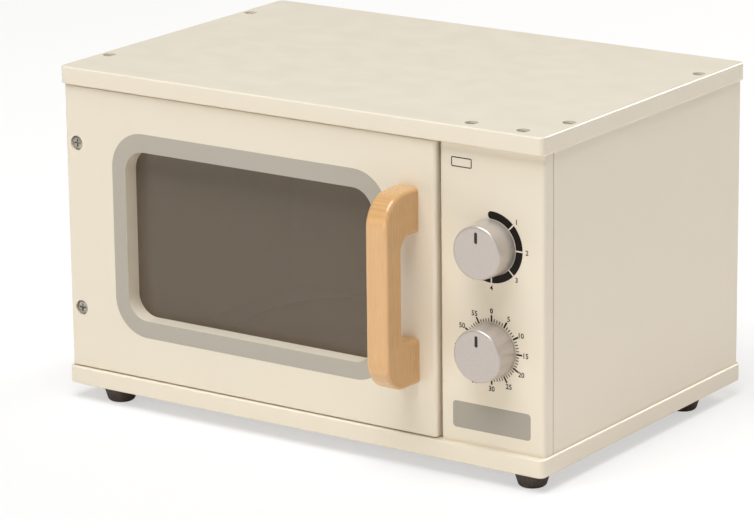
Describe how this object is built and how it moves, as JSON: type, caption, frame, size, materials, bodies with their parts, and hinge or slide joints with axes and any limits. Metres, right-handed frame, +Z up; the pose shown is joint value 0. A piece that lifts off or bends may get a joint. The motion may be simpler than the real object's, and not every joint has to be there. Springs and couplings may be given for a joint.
{
  "type": "toy microwave oven",
  "caption": "Toy microwave oven: painted wooden box on feet, hinged door with tinted round-cornered window and wooden bracket handle, turning dials and a turntable.",
  "frame": {"origin": "on the floor under the middle of the bounding box, which runs from the handle's face to the back edge of the boards", "axes": "+Z up, -Y out of the front with the door and dials, +X to the right as seen from the front"},
  "size_m": [0.3, 0.2246, 0.1821],
  "materials": {
    "painted_wood": "satin paint",
    "beech": "clear satin lacquer",
    "hardboard": "matt paint",
    "tinted_acrylic": "glossy smoke tint",
    "knob_plastic": "satin silver paint",
    "dark_plastic": "matt",
    "white_nylon": "smooth nylon",
    "steel": "zinc plated",
    "magnet": "nickel plated ferrite",
    "foot_rubber": "matt",
    "felt": "wool felt",
    "silicone": "clear silicone",
    "turntable_wood": "clear satin lacquer"
  },
  "bodies": {
    "cabinet": {"base_board": "painted_wood", "top_board": "painted_wood", "left_side_panel": "painted_wood", "right_side_panel": "painted_wood", "partition_panel": "painted_wood", "back_panel": "hardboard", "control_panel": "painted_wood", "partition_dowels": "beech", "top_board_screws": "steel", "base_board_screws": "steel", "back_panel_screws": "steel", "foot_front_left": "foot_rubber", "foot_front_right": "foot_rubber", "foot_back_left": "foot_rubber", "foot_back_right": "foot_rubber", "foot_screws": "steel", "upper_hinge_frame_leaf": "steel", "lower_hinge_frame_leaf": "steel", "upper_hinge_pin": "steel", "lower_hinge_pin": "steel", "hinge_leaf_screws": "steel", "catch_housing": "dark_plastic", "catch_magnet": "magnet", "catch_screws": "steel", "door_bumpers": "silicone", "power_bush": "white_nylon", "time_bush": "white_nylon", "turntable_bush": "white_nylon", "turntable_screw": "steel"},
    "door": {"door_panel": "painted_wood", "window_pane": "tinted_acrylic", "window_screws": "steel", "door_handle": "beech", "handle_screws": "steel", "upper_hinge_door_leaf": "steel", "lower_hinge_door_leaf": "steel", "door_hinge_screws": "steel", "strike_plate": "steel", "strike_screws": "steel"},
    "power_dial": {"power_knob": "knob_plastic", "power_index": "dark_plastic", "power_spindle": "steel", "power_friction_washer": "felt", "power_collar": "dark_plastic", "power_grub_screw": "steel"},
    "time_dial": {"time_knob": "knob_plastic", "time_index": "dark_plastic", "time_spindle": "steel", "time_friction_washer": "felt", "time_collar": "dark_plastic", "time_grub_screw": "steel"},
    "turntable": {"turntable_disc": "turntable_wood"}
  },
  "joints": [
    {"name": "door_hinge", "type": "hinge", "parent": "cabinet", "child": "door", "pos_m": [-0.1485, -0.0739, 0.0956], "axis": [0, 0, -1], "range_deg": [0, 110]},
    {"name": "power_dial_turn", "type": "hinge", "parent": "cabinet", "child": "power_dial", "pos_m": [0.1177, -0.0817, 0.1221], "axis": [0, 1, 0], "continuous": true},
    {"name": "time_dial_turn", "type": "hinge", "parent": "cabinet", "child": "time_dial", "pos_m": [0.1177, -0.0817, 0.0693], "axis": [0, 1, 0], "continuous": true},
    {"name": "turntable_turn", "type": "hinge", "parent": "cabinet", "child": "turntable", "pos_m": [-0.029, 0.0175, 0.0275], "axis": [0, 0, 1], "continuous": true}
  ]
}
